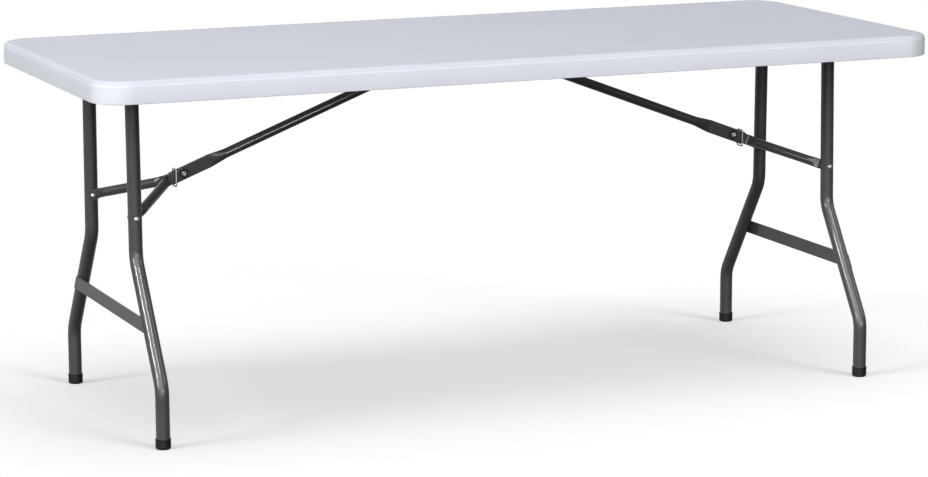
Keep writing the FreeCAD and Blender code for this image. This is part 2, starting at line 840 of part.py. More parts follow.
def make_left_leg_nodes():
    leg = make_near_left_leg()
    cap = make_near_left_foot_cap()
    rivet = make_near_left_rivet()
    return {
        "pivot_tube": make_left_pivot_tube(),
        "leg_near": leg,
        "leg_far": mirror_y(leg),
        "cross_brace": make_left_cross_brace(),
        "foot_cap_near": cap,
        "foot_cap_far": mirror_y(cap),
        "leg_rivets": Part.makeCompound([rivet, mirror_y(rivet)]),
    }


def make_left_brace_nodes():
    fork_arm = make_far_fork_arm()
    fork_head = make_far_fork_rivet_head()
    pieces = {
        "brace_arm": make_brace_arm(),
        "elbow_rivet": make_elbow_rivet(),
        "fork_arm_near": mirror_y(fork_arm),
        "fork_arm_far": fork_arm,
        "fork_rivet_heads": Part.makeCompound([mirror_y(fork_head), fork_head]),
        "lock_ring": make_lock_ring(),
    }
    return {name: placed(shape) for name, shape in pieces.items()}


def placed(shape):
    """Copy of a brace piece, carried from its drawing place to the left brace."""
    moved = shape.copy()
    moved.Placement = brace_placement.multiply(moved.Placement)
    return moved


def main():
    os.makedirs("parts", exist_ok=True)
    nodes = make_top_nodes()
    left_nodes = {**make_left_leg_nodes(), **make_left_brace_nodes()}
    for name, shape in left_nodes.items():
        nodes["left_" + name] = shape
        nodes["right_" + name] = mirror_x(shape)
    for name, shape in nodes.items():
        shape.exportStep(f"parts/{name}.step")
        volume = shape.Volume / 1000
        print(f"{name}: {len(shape.Solids)} solids, valid {shape.isValid()}, {volume:.1f} cm3")
    print(f"leg pivot x {leg_x:.3f} z {pivot_z:.3f}, foot y {foot_y:.3f}, brace angle {brace_angle:.4f}")
    print(f"elbow x {elbow.x:.3f} z {elbow.z:.3f}, arm {arm_length:.3f}, fork {fork_length:.3f}")


main()
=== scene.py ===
import json
import math

import bmesh
import bpy
from mathutils import Matrix, Vector


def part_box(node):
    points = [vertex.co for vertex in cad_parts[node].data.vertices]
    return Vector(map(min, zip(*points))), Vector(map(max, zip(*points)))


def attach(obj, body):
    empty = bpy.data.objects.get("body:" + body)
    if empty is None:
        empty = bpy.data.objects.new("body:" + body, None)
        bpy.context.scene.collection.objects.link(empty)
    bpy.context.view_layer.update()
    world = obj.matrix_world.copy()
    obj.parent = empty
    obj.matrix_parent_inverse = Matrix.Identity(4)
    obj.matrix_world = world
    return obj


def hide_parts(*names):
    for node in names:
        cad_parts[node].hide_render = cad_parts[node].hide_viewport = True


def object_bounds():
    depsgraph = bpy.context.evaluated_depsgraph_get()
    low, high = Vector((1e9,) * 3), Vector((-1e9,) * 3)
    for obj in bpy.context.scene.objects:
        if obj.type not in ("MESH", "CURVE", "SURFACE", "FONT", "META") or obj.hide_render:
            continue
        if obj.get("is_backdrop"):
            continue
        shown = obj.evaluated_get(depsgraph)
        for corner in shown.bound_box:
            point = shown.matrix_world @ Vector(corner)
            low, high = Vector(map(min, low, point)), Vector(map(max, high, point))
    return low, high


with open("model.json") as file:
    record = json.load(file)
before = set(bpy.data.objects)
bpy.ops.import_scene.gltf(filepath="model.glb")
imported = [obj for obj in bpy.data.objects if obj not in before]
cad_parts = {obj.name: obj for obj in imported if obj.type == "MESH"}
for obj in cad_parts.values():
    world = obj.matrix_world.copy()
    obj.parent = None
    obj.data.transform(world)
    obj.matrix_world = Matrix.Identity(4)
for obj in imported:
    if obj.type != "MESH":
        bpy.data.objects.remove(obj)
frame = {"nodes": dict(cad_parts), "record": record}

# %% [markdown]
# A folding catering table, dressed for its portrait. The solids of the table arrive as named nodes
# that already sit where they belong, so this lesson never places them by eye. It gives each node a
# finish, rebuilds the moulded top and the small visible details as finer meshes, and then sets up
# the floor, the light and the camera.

cad_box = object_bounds()
nodes = frame["nodes"]

# %% [markdown]
# A few small helpers serve every finish. Colours are written as sRGB hex, as in a colour chart, and
# Cycles works in linear light, so one function converts them. Another adds a shader node, sets its
# values and links its inputs in one call, which keeps each finish readable from top to bottom. Sizes
# are in millimetres: the last one turns the size of a pattern into the scale of a texture.

# %% Colour and node helpers


def linear(hex_colour):
    """Linear RGBA of an sRGB hex colour."""
    channels = [int(hex_colour[k:k + 2], 16) / 255 for k in (1, 3, 5)]
    return tuple(c / 12.92 if c <= 0.04045 else ((c + 0.055) / 1.055) ** 2.4 for c in channels) + (1.0,)


def add_node(tree, kind, settings=None, **inputs):
    """Add a shader node: settings are its own options, inputs are values or sockets to link from.
    An underscore in an input's name stands for a space, and a number picks the socket by place."""
    node = tree.nodes.new("ShaderNode" + kind)
    for name, value in (settings or {}).items():
        setattr(node, name, value)
    for name, value in inputs.items():
        key = int(name[1:]) if name[0] == "i" and name[1:].isdigit() else name.replace("_", " ")
        if isinstance(value, bpy.types.NodeSocket):
            tree.links.new(value, node.inputs[key])
        else:
            node.inputs[key].default_value = value
    return node


def new_finish(name):
    """An empty material, and the node tree to fill."""
    material = bpy.data.materials.new(name)
    material.use_nodes = True
    material.node_tree.nodes.clear()
    return material, material.node_tree


MM = 0.001


def per_metre(millimetres):
    """Texture scale that repeats once in so many millimetres."""
    return 1000.0 / millimetres


print("white in linear light:", linear("#FFFFFF"))

# %% [markdown]
# The top is blow-moulded high-density polyethylene, a waxy plastic that comes out of its mould with
# the mould's skin on it. The flat field has a fine pebble grain that breaks up reflections and hides
# scratches, and the grain runs on over the rounded edge. The rim below it is smoother and carries a
# soft sheen. Its tint is lighter than the field's, and that is painted light: it lifts the rim, where
# less light reaches below the rounded edge, and draws a bright line where the grain stops. One function
# makes both skins of the same plastic, and only the numbers for tint, grain and sheen differ.

# %% Blow-moulded HDPE

tint_span = (0.35, 0.65)
pebble_size_share = 0.6
pebble_height_share = 0.5
hdpe_cloud_mm = 140
hdpe_scuff_mm = 9
hdpe_scuff_spread = 0.06
hdpe_ior = 1.54


def moulded_hdpe(name, colour, shade, grain_mm, grain_height_mm, roughness, gloss):
    """White HDPE: grain from the mould, faint cloudiness of the wall and slight scuffing in use."""
    material, tree = new_finish(name)
    place = add_node(tree, "TexCoord").outputs["Object"]
    cloud = add_node(tree, "TexNoise", Vector=place, Scale=per_metre(hdpe_cloud_mm), Detail=3.0,
                     Roughness=0.6)
    tint = add_node(tree, "ValToRGB", Fac=cloud.outputs["Fac"])
    tint.color_ramp.elements[0].position = tint_span[0]
    tint.color_ramp.elements[0].color = linear(shade)
    tint.color_ramp.elements[1].position = tint_span[1]
    tint.color_ramp.elements[1].color = linear(colour)
    grain = add_node(tree, "TexVoronoi", {"feature": "SMOOTH_F1"}, Vector=place,
                     Scale=per_metre(grain_mm))
    pebble = add_node(tree, "TexNoise", Vector=place, Scale=per_metre(grain_mm * pebble_size_share),
                      Detail=2.0)
    height = add_node(tree, "Math", {"operation": "MULTIPLY_ADD"}, i0=pebble.outputs["Fac"],
                      i1=pebble_height_share, i2=grain.outputs["Distance"])
    bump = add_node(tree, "Bump", Strength=0.6, Distance=grain_height_mm * MM,
                    Height=height.outputs["Value"])
    scuff = add_node(tree, "TexNoise", Vector=place, Scale=per_metre(hdpe_scuff_mm), Detail=4.0)
    sheen = add_node(tree, "MapRange", Value=scuff.outputs["Fac"],
                     To_Min=roughness - hdpe_scuff_spread, To_Max=roughness + hdpe_scuff_spread)
    plastic = add_node(tree, "BsdfPrincipled", Base_Color=tint.outputs["Color"],
                       Roughness=sheen.outputs["Result"], Normal=bump.outputs["Normal"],
                       IOR=hdpe_ior, Specular_IOR_Level=gloss)
    add_node(tree, "OutputMaterial", Surface=plastic.outputs["BSDF"])
    return material


# Real pebble grain is about 1 mm; it is drawn at 2.4 mm so that it shows at this distance.
grained_hdpe = moulded_hdpe("grained_blow_moulded_HDPE", "#CFD2DB", "#CDD0D9", 2.4, 0.25, 0.82, 0.2)
# The smooth skin's tint, lighter than the field's, is painted light on the rim and at the foot of the
# edge.
smooth_hdpe_painted_lighter = moulded_hdpe("smooth_blow_moulded_HDPE_painted_lighter", "#E9EBF5", "#E6E8F2", 4.0, 0.06, 0.42, 0.35)
print("made", grained_hdpe.name, "and", smooth_hdpe_painted_lighter.name)

# %% [markdown]
# The legs, rails and braces are steel tube and sheet with an anthracite gloss powder coat. Powder is
# sprayed dry and melts in an oven, so it flows into a thick even film with a slight orange-peel wave.
# That gives long clean highlights along each tube that waver a little. Paint on metal shades as a
# plastic film, so it isn't metallic.

# %% Gloss powder coat on steel

film_cloud_mm = 60
peel_mm = 6
peel_height_mm = 0.1
dust_mm = 25
paint_roughness = (0.38, 0.46)
paint_ior = 1.5


def powder_coat(name, colour, shade):
    """Gloss paint film: faint clouds in its tint, orange peel, and dust that dulls it in places."""
    material, tree = new_finish(name)
    place = add_node(tree, "TexCoord").outputs["Object"]
    film = add_node(tree, "TexNoise", Vector=place, Scale=per_metre(film_cloud_mm), Detail=3.0)
    tint = add_node(tree, "ValToRGB", Fac=film.outputs["Fac"])
    tint.color_ramp.elements[0].position = tint_span[0]
    tint.color_ramp.elements[0].color = linear(shade)
    tint.color_ramp.elements[1].position = tint_span[1]
    tint.color_ramp.elements[1].color = linear(colour)
    # Orange peel has waves of about 2 mm; they are drawn at 6 mm so that the highlight still wavers.
    peel = add_node(tree, "TexNoise", Vector=place, Scale=per_metre(peel_mm), Detail=1.0)
    bump = add_node(tree, "Bump", Strength=0.25, Distance=peel_height_mm * MM,
                    Height=peel.outputs["Fac"])
    dust = add_node(tree, "TexNoise", Vector=place, Scale=per_metre(dust_mm), Detail=5.0)
    sheen = add_node(tree, "MapRange", Value=dust.outputs["Fac"], To_Min=paint_roughness[0],
                     To_Max=paint_roughness[1])
    paint = add_node(tree, "BsdfPrincipled", Base_Color=tint.outputs["Color"],
                     Roughness=sheen.outputs["Result"], Normal=bump.outputs["Normal"],
                     IOR=paint_ior, Coat_Weight=0.5, Coat_Roughness=0.06)
    add_node(tree, "OutputMaterial", Surface=paint.outputs["BSDF"])
    return material


anthracite_powder_coat = powder_coat("anthracite_gloss_powder_coated_steel", "#494A4C", "#434446")
print("made", anthracite_powder_coat.name)

# %% [markdown]
# Rivets, pins, screws and the lock rings are zinc-plated steel. The plating is bright but not
# polished: tiny crystals and handling marks spread each reflection, so roughness varies over a few
# millimetres. It is a metal, so the colour sits in its reflection and the IOR stays as it is. The foot
# caps and washers are black polyethylene and the bushes are undyed nylon. Both are injection-moulded,
# so they share a function: an even colour with a fine matt grain.

# %% Zinc plate, black polyethylene and nylon

# Crystals of the plating are finer than the eye can see; they are drawn at 1.5 mm so that they show.
zinc_crystal_mm = 1.5
zinc_crystal_height_mm = 0.05
zinc_roughness = (0.42, 0.58)


def zinc_plate(name):
    """Plated steel: small crystals that vary its tint, its roughness and its relief together."""
    material, tree = new_finish(name)
    place = add_node(tree, "TexCoord").outputs["Object"]
    crystals = add_node(tree, "TexNoise", Vector=place, Scale=per_metre(zinc_crystal_mm),
                        Detail=4.0)
    tint = add_node(tree, "ValToRGB", Fac=crystals.outputs["Fac"])
    tint.color_ramp.elements[0].color = linear("#C4C6C9")
    tint.color_ramp.elements[1].color = linear("#E2E4E7")
    sheen = add_node(tree, "MapRange", Value=crystals.outputs["Fac"], To_Min=zinc_roughness[0],
                     To_Max=zinc_roughness[1])
    bump = add_node(tree, "Bump", Strength=0.2, Distance=zinc_crystal_height_mm * MM,
                    Height=crystals.outputs["Fac"])
    metal = add_node(tree, "BsdfPrincipled", Base_Color=tint.outputs["Color"], Metallic=1.0,
                     Roughness=sheen.outputs["Result"], Normal=bump.outputs["Normal"])
    add_node(tree, "OutputMaterial", Surface=metal.outputs["BSDF"])
    return material


plastic_flow_mm = 12
# Spark-eroded grain is about 0.2 mm; it is drawn at 0.8 mm so that it shows from near.
spark_grain_mm = 0.8
spark_grain_height_mm = 0.08
plastic_rub_spread = 0.07
plastic_ior = 1.51


def moulded_plastic(name, colour, shade, roughness):
    """Small injection-moulded piece: even colour, fine spark-eroded grain, light rubbing."""
    material, tree = new_finish(name)
    place = add_node(tree, "TexCoord").outputs["Object"]
    flow = add_node(tree, "TexNoise", Vector=place, Scale=per_metre(plastic_flow_mm), Detail=3.0)
    tint = add_node(tree, "ValToRGB", Fac=flow.outputs["Fac"])
    tint.color_ramp.elements[0].color = linear(shade)
    tint.color_ramp.elements[1].color = linear(colour)
    grain = add_node(tree, "TexNoise", Vector=place, Scale=per_metre(spark_grain_mm), Detail=2.0)
    bump = add_node(tree, "Bump", Strength=0.25, Distance=spark_grain_height_mm * MM,
                    Height=grain.outputs["Fac"])
    sheen = add_node(tree, "MapRange", Value=flow.outputs["Fac"],
                     To_Min=roughness - plastic_rub_spread, To_Max=roughness + plastic_rub_spread)
    plastic = add_node(tree, "BsdfPrincipled", Base_Color=tint.outputs["Color"],
                       Roughness=sheen.outputs["Result"], Normal=bump.outputs["Normal"],
                       IOR=plastic_ior)
    add_node(tree, "OutputMaterial", Surface=plastic.outputs["BSDF"])
    return material


zinc_plated_steel = zinc_plate("zinc_plated_steel")
black_polyethylene = moulded_plastic("black_moulded_polyethylene", "#0B0B0C", "#070708", 0.5)
natural_nylon = moulded_plastic("natural_moulded_nylon", "#D9D5C8", "#CFCABB", 0.4)
print("made", zinc_plated_steel.name, black_polyethylene.name, natural_nylon.name)

# %% [markdown]
# Each node tells by its slot in the record which real material it is. A table from slot to finish
# dresses all of them in one loop, so a leg on the left can never differ from one on the right.

# %% Dress the nodes

finish_of_slot = {
    "white_hdpe": smooth_hdpe_painted_lighter,
    "grey_powder_coat": anthracite_powder_coat,
    "zinc_steel": zinc_plated_steel,
    "black_polyethylene": black_polyethylene,
    "natural_nylon": natural_nylon,
}
for part in frame["record"]["subparts"]:
    for slot in nodes[part["node"]].material_slots:
        slot.material = finish_of_slot[part["material_slot"]]

# %% [markdown]
# Pieces of the scene's own all end in the same way: the mesh becomes an object, gets its finishes and
# rides on the body that it belongs to. Smooth shading hides the facets, and edges sharper than an angle
# stay crisp, as a pressed or turned edge is. A weld has no crisp edge, so it is smooth all over.

# %% From mesh to piece

crisp_edge_degrees = 40


def finished_piece(name, mesh, finishes, body, crisp_edges=True):
    """Object from a mesh that is complete, dressed and riding on its body."""
    bmesh.ops.recalc_face_normals(mesh, faces=mesh.faces)
    data = bpy.data.meshes.new(name)
    mesh.to_mesh(data)
    mesh.free()
    for finish in finishes:
        data.materials.append(finish)
    data.shade_smooth()
    if crisp_edges:
        data.set_sharp_from_angle(angle=math.radians(crisp_edge_degrees))
    piece = bpy.data.objects.new(name, data)
    bpy.context.scene.collection.objects.link(piece)
    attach(piece, body)
    print(name, len(data.polygons), "faces")
    return piece


print("edges sharper than", crisp_edge_degrees, "degrees stay crisp")

# %% [markdown]
# The moulded top shows more of itself than any other piece, and a bright line runs along its rounded
# edge right across the picture, partly lamp light on the curve and partly painted light where the
# lighter rim skin begins. Its node is right in size but has few facets on the curves, so a finer mesh
# stands for it. The rim is a profile carried round the outline: each point of the profile is a
# distance in from the edge and a level, and gives one ring of vertices. Rings joined in order make the
# rounded edge, the rim and the wall inside it without any boolean.

# %% Moulded top: profile of the rim

top_low, top_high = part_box("tabletop")
corner_radius = 70 * MM
edge_radius = 12 * MM
rim_width = 24 * MM
rim_edge_radius = 1.5 * MM
deck_thickness = 14 * MM
deck_root_radius = 5 * MM
flat_beside_arc = 1 * MM
deck_under = top_high.z - deck_thickness


def arc(centre, radius, start, end, steps):
    """Points (inset, level) on an arc of the profile, by angles in degrees."""
    angles = [math.radians(start + (end - start) * k / steps) for k in range(steps + 1)]
    return [(centre[0] + radius * math.cos(a), centre[1] + radius * math.sin(a)) for a in angles]


foot_level = top_low.z + rim_edge_radius
root_inset = rim_width + deck_root_radius
rim_profile = [(edge_radius + flat_beside_arc, top_high.z)]
rim_profile += arc((edge_radius, top_high.z - edge_radius), edge_radius, 90, 180, 14)
rim_profile += arc((rim_edge_radius, foot_level), rim_edge_radius, 180, 270, 6)
rim_profile += arc((rim_width - rim_edge_radius, foot_level), rim_edge_radius, 270, 360, 6)
rim_profile += arc((root_inset, deck_under - deck_root_radius), deck_root_radius, 180, 90, 6)
rim_profile.append((root_inset + flat_beside_arc, deck_under))
# The grain runs over the rounded edge and stops at this ring, where the edge turns down. From here the
# smooth skin's lighter tint is painted light, and it draws a painted bright line along the foot of the
# edge.
grained_rings = 12
print("rim profile of", len(rim_profile), "rings,", grained_rings, "of them grained")

# %% [markdown]
# Underneath, rows of six-sided wells tie the lower skin to the upper one, as in a real blow moulding,
# where they make a thin hollow sheet stiff. The flat skin between them is filled as one face with
# holes, and each well hangs its own rings from its hole.

# %% Moulded top: mesh

well_mouth_radius = 15 * MM
well_floor_radius = 9 * MM
well_depth = 9 * MM
well_corner = 3 * MM
well_pitch = (110 * MM, 84 * MM)
well_margin = 30 * MM
rail_inner = 330.5 * MM
bracket_keep_clear = (111 * MM, 42 * MM)


def rounded_outline(inset, steps=14):
    """Rounded rectangle of the top, so far in from its edge, as (x, y) pairs."""
    radius = corner_radius - inset
    x = top_high.x - inset - radius
    y = top_high.y - inset - radius
    points = []
    for quarter, (cx, cy) in enumerate(((x, y), (-x, y), (-x, -y), (x, -y))):
        for k in range(steps + 1):
            angle = math.radians(90 * quarter + 90 * k / steps)
            points.append((cx + radius * math.cos(angle), cy + radius * math.sin(angle)))
    return points


def rounded_hexagon(radius, corner, steps=3):
    """Six-sided outline with rounded corners, as (x, y) pairs round its middle."""
    points = []
    reach = radius - corner / math.cos(math.radians(30))
    for side in range(6):
        middle = math.radians(60 * side)
        for k in range(steps + 1):
            angle = middle + math.radians(-30 + 60 * k / steps)
            points.append((reach * math.cos(middle) + corner * math.cos(angle),
                           reach * math.sin(middle) + corner * math.sin(angle)))
    return points


def ring(mesh, outline, level, centre=(0.0, 0.0)):
    """Vertices of an outline, laid flat at a level round a centre."""
    return [mesh.verts.new((centre[0] + x, centre[1] + y, level)) for x, y in outline]


def bridge(mesh, first, second, material=0):
    """Quads between two rings with the same number of vertices."""
    for k in range(len(first)):
        n = (k + 1) % len(first)
        face = mesh.faces.new((first[k], first[n], second[n], second[k]))
        face.material_index = material


def well_places():
    """Middle of each well, in staggered rows that keep clear of rim, rails and bracket."""
    reach_x = top_high.x - root_inset - well_margin
    reach_y = rail_inner - well_margin
    rows = int(reach_y // well_pitch[1])
    columns = int(reach_x // well_pitch[0]) + 1
    for row in range(-rows, rows + 1):
        for column in range(-columns, columns + 1):
            x = column * well_pitch[0] + (well_pitch[0] / 2 if row % 2 else 0.0)
            y = row * well_pitch[1]
            under_bracket = abs(x) < bracket_keep_clear[0] and abs(y) < bracket_keep_clear[1]
            if abs(x) <= reach_x and not under_bracket:
                yield x, y


def edges_round(vertices):
    """Edges of a ring, in order."""
    pairs = zip(vertices, vertices[1:] + vertices[:1])
    return [next(edge for edge in a.link_edges if edge.other_vert(a) is b) for a, b in pairs]


mesh = bmesh.new()
rings = [ring(mesh, rounded_outline(inset), level) for inset, level in rim_profile]
mesh.faces.new(rings[0]).material_index = 1
for k, (first, second) in enumerate(zip(rings, rings[1:])):
    bridge(mesh, second, first, material=1 if k < grained_rings else 0)

# Radius and height above the lower skin of each ring of a well, from its rounded mouth to its floor.
well_profile = [
    (well_mouth_radius + 2.5 * MM, 0.0),
    (well_mouth_radius + 1.5 * MM, 0.0),
    (well_mouth_radius + 0.4 * MM, 0.4 * MM),
    (well_mouth_radius - 0.6 * MM, 1.6 * MM),
    (well_floor_radius + 0.9 * MM, well_depth - 1.6 * MM),
    (well_floor_radius, well_depth - 0.4 * MM),
    (well_floor_radius - 1.4 * MM, well_depth),
]
mouth_edges = edges_round(rings[-1])
places = list(well_places())
for place in places:
    well_rings = []
    for radius, rise in well_profile:
        well_rings.append(ring(mesh, rounded_hexagon(radius, well_corner), deck_under + rise, place))
    for first, second in zip(well_rings, well_rings[1:]):
        bridge(mesh, second, first)
    mesh.faces.new(well_rings[-1])
    mouth_edges += edges_round(well_rings[0])
bmesh.ops.triangle_fill(mesh, use_beauty=True, use_dissolve=False, edges=mouth_edges)
moulded_top = finished_piece("moulded_top", mesh, [smooth_hdpe_painted_lighter, grained_hdpe], "table_top")
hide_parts("tabletop")
print("wells:", len(places))

# %% [markdown]
# Each leg frame is welded: the legs under their cross tube, and the flat bar across the legs. A weld
# is a row of overlapping drops, each a little later than the last, so its bead is a rippled string.
# It can be drawn by carrying a ring along the seam and letting its radius swell and shrink once per
# drop. The seams are measured on the nodes, so a bead always lies where two pieces meet.

# %% Weld beads

bead_radius = 1.9 * MM
ripple_pitch = 2.4 * MM
ripple_share = 0.16
points_per_ripple = 4
ring_points = 10
# An open bead starts with this share of its radius and grows by so much from ring to ring.
bead_end_share = 0.35
bead_end_growth = 0.2
steep_slope = 0.9
# How far the middle of a bead lies beside or outside what it is welded to.
bead_beside_bar = 0.3 * MM
bead_outside_bar = 1.001
bead_outside_leg = 1.03
# Bands in which vertices of a node count as one level, or as the end of a leg.
same_level = 0.1 * MM
saddle_height = 3 * MM


def corners_of(name):
    """All vertices of a node in the shared frame."""
    node = nodes[name]
    return [node.matrix_world @ vertex.co for vertex in node.data.vertices]


def evenly_spaced(path, step):
    """The path again, as points one step apart."""
    spaced = [path[0]]
    for start, end in zip(path, path[1:]):
        count = max(1, round((end - start).length / step))
        spaced += [start.lerp(end, (k + 1) / count) for k in range(count)]
    return spaced


def join_rings(mesh, rings, closed):
    """Bridge rings in order, then close the loop or cap both ends."""
    for first, second in zip(rings, rings[1:]):
        bridge(mesh, first, second)
    if closed:
        bridge(mesh, rings[-1], rings[0])
    else:
        mesh.faces.new(rings[0])
        mesh.faces.new(rings[-1])


def weld_bead(mesh, seam, closed):
    """Rippled bead along a seam; an open one tapers off at both ends."""
    points = evenly_spaced(seam, ripple_pitch / points_per_ripple)
    if closed:
        points.pop()
    last = len(points) - 1
    rings = []
    for k, point in enumerate(points):
        ahead = points[(k + 1) % len(points)] if closed else points[min(k + 1, last)]
        behind = points[k - 1] if closed else points[max(k - 1, 0)]
        along = (ahead - behind).normalized()
        steep = abs(along.z) > steep_slope
        across = along.orthogonal() if steep else along.cross(Vector((0, 0, 1)))
        across.normalize()
        upward = across.cross(along)
        swell = 1 + ripple_share * math.cos(math.tau * k / points_per_ripple)
        taper = 1.0 if closed else min(1.0, bead_end_share + bead_end_growth * min(k, last - k))
        radius = bead_radius * swell * taper
        turns = [math.tau * n / ring_points for n in range(ring_points)]
        edge = [point + radius * (across * math.cos(a) + upward * math.sin(a)) for a in turns]
        rings.append([mesh.verts.new(place) for place in edge])
    join_rings(mesh, rings, closed)


def bar_seam(brace, leg_side):
    """Slanting end of the flat bar, where its inner face meets the leg."""
    places = corners_of(brace)
    inner_x = min((place.x for place in places), key=abs)
    lower, upper = min(place.z for place in places), max(place.z for place in places)
    seam = []
    for level in (lower, upper):
        row = [place for place in places if abs(place.z - level) < same_level]
        end = max(row, key=lambda place: place.y * leg_side)
        seam.append(Vector((inner_x * bead_outside_bar, end.y + leg_side * bead_beside_bar, level)))
    return seam


def saddle_seam(leg, tube, steps=40):
    """Line where a leg's end fits round the cross tube."""
    tube_low, tube_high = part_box(tube)
    leg_low, leg_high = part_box(leg)
    centre = (tube_low + tube_high) / 2
    tube_radius = (tube_high.z - tube_low.z) / 2
    leg_radius = (leg_high.x - leg_low.x) / 2
    horns = [place.y for place in corners_of(leg) if place.z > leg_high.z - saddle_height]
    leg_y = sum(horns) / len(horns)
    seam = []
    for k in range(steps + 1):
        angle = math.tau * k / steps
        x = leg_radius * math.cos(angle)
        y = leg_radius * math.sin(angle)
        drop = math.sqrt(tube_radius ** 2 - x ** 2)
        seam.append(Vector((centre.x + bead_outside_leg * x, leg_y + bead_outside_leg * y,
                            centre.z - drop)))
    return seam


for side in ("left", "right"):
    mesh = bmesh.new()
    for row, leg_side in (("near", -1), ("far", 1)):
        weld_bead(mesh, bar_seam(side + "_cross_brace", leg_side), closed=False)
        weld_bead(mesh, saddle_seam(side + "_leg_" + row, side + "_pivot_tube"), closed=True)
    finished_piece(side + "_welds", mesh, [anthracite_powder_coat], side + "_leg_frame",
                   crisp_edges=False)

# %% [markdown]
# The rivet of each elbow is half hollow: its far end is a plain dome and its near end is a short tube
# rolled over by the riveting tool, which leaves a bright ring round a dark hole. A turned shape like
# this is a profile of radii carried round the rivet's axis. The node gives its place and length. A
# thin black plastic washer lies under the rolled end and shows as a dark ring on the brace.

# %% Elbow rivets and their washers

shank_radius = 4 * MM
head_height = 3.2 * MM
washer_radius = 9.5 * MM
washer_thickness = 0.9 * MM
washer_round_off = 0.25 * MM
dome_rings = 10
# Radius and depth in millimetres of the rolled end, from the floor of its hole to its outer edge.
rolled_end = [(0.5, 2.4), (1.8, 2.4), (2.1, 2.1), (2.2, 1.2), (2.5, 0.5), (3.0, 0.1), (3.6, 0.0),
              (4.3, 0.2), (4.9, 0.7), (5.3, 1.5), (5.5, 2.4), (5.5, 3.0), (5.4, 3.2)]


def turned(mesh, profile, centre, closed, steps=36):
    """Shape turned about a line along Y: the profile holds radii and places on that line."""
    rings = []
    for radius, y in profile:
        turns = [math.tau * n / steps for n in range(steps)]
        edge = [(centre.x + radius * math.cos(a), y, centre.z + radius * math.sin(a)) for a in turns]
        rings.append([mesh.verts.new(place) for place in edge])
    join_rings(mesh, rings, closed)


for side in ("left", "right"):
    low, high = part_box(side + "_elbow_rivet")
    centre = (low + high) / 2
    head_radius = (high.x - low.x) / 2
    dome_radius = (head_radius ** 2 + head_height ** 2) / (2 * head_height)
    dome_edge = math.asin(head_radius / dome_radius)
    profile = [(radius * MM, low.y + depth * MM) for radius, depth in rolled_end]
    profile += [(shank_radius, low.y + head_height), (shank_radius, high.y - head_height)]
    for k in range(dome_rings):
        angle = dome_edge * (1 - k / dome_rings)
        profile.append((dome_radius * math.sin(angle), high.y - dome_radius * (1 - math.cos(angle))))
    mesh = bmesh.new()
    turned(mesh, profile, centre, closed=False)
    rivet = finished_piece(side + "_rolled_rivet", mesh, [zinc_plated_steel], side + "_arm")
    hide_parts(side + "_elbow_rivet")

    seat = low.y + head_height
    face = seat - washer_thickness
    washer_profile = [(shank_radius, seat), (shank_radius, face),
                      (washer_radius - washer_round_off, face),
                      (washer_radius, face + washer_round_off), (washer_radius, seat)]
    mesh = bmesh.new()
    turned(mesh, washer_profile, centre, closed=True)
    finished_piece(side + "_washer", mesh, [black_polyethylene], side + "_arm")

# %% [markdown]
# Rails and bracket hang on pan-head screws with a cross recess. They show only from below, where the
# recess is what tells a screw from a rivet. The head is a stack of rings, its lower face is filled
# between a circle and the outline of the cross, and the recess narrows to its floor. The places are
# read from the nodes: the lowest points of a node are the faces of its screws.

# %% Screws with a cross recess

cross_reach = 2.3 * MM
cross_half_width = 0.6 * MM
cross_depth = 1.5 * MM
cross_floor_share = 0.55
thread_radius = 2.4 * MM
# Vertices in this band are on a lower face, and those within reach of each other on the same screw.
lowest_band = 0.05 * MM
screw_reach = 10 * MM
# Radius and height of the rings of a head, in millimetres, from its lower face up to its seat.
pan_head = [(2.9, 0.0), (3.5, 0.2), (4.1, 0.7), (4.4, 1.3), (4.5, 2.0), (4.5, 2.6)]


def cross_outline(share):
    """Outline of a cross recess, as (x, y) pairs."""
    points = []
    for cosine, sine in ((1, 0), (0, 1), (-1, 0), (0, -1)):
        for x, y in ((cross_reach, -cross_half_width), (cross_reach, cross_half_width),
                     (cross_half_width, cross_half_width)):
            points.append((share * (x * cosine - y * sine), share * (x * sine + y * cosine)))
    return points


def circle(radius, steps=24):
    """Points on a circle, as (x, y) pairs."""
    return [(radius * math.cos(math.tau * k / steps), radius * math.sin(math.tau * k / steps))
            for k in range(steps)]


def screw_places(name):
    """Middle of each screw's lower face."""
    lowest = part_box(name)[0].z
    groups = []
    for place in corners_of(name):
        if place.z > lowest + lowest_band:
            continue
        near = [group for group in groups if (group[0] - place).length < screw_reach]
        if near:
            near[0].append(place)
        else:
            groups.append([place])
    for group in groups:
        x = [place.x for place in group]
        y = [place.y for place in group]
        yield (min(x) + max(x)) / 2, (min(y) + max(y)) / 2


for name in ("rail_screws", "bracket_screws"):
    low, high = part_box(name)
    mesh = bmesh.new()
    for place in screw_places(name):
        rings = [ring(mesh, circle(radius * MM), low.z + rise * MM, place) for radius, rise in pan_head]
        seat = low.z + pan_head[-1][1] * MM
        rings += [ring(mesh, circle(thread_radius), level, place) for level in (seat, high.z)]
        for first, second in zip(rings, rings[1:]):
            bridge(mesh, first, second)
        mesh.faces.new(rings[-1])
        mouth = ring(mesh, cross_outline(1.0), low.z, place)
        recess_floor = ring(mesh, cross_outline(cross_floor_share), low.z + cross_depth, place)
        bridge(mesh, mouth, recess_floor)
        mesh.faces.new(recess_floor)
        face_edges = edges_round(rings[0]) + edges_round(mouth)
        bmesh.ops.triangle_fill(mesh, use_beauty=True, use_dissolve=False, edges=face_edges)
    screws = finished_piece("cross_" + name, mesh, [zinc_plated_steel], "table_top")
    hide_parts(name)

# %% [markdown]
# The floor is a sheet of white acrylic lit from below, as studios use under pale products. Its own
# glow keeps the ground white, and it still takes the soft pool of shade under the top and the shadows
# at the feet. Reflections don't see it: the surround of the next step has a lower half that stands
# for the floor, so the gloss paint can be shaded without changing the ground in the picture.

# %% Floor

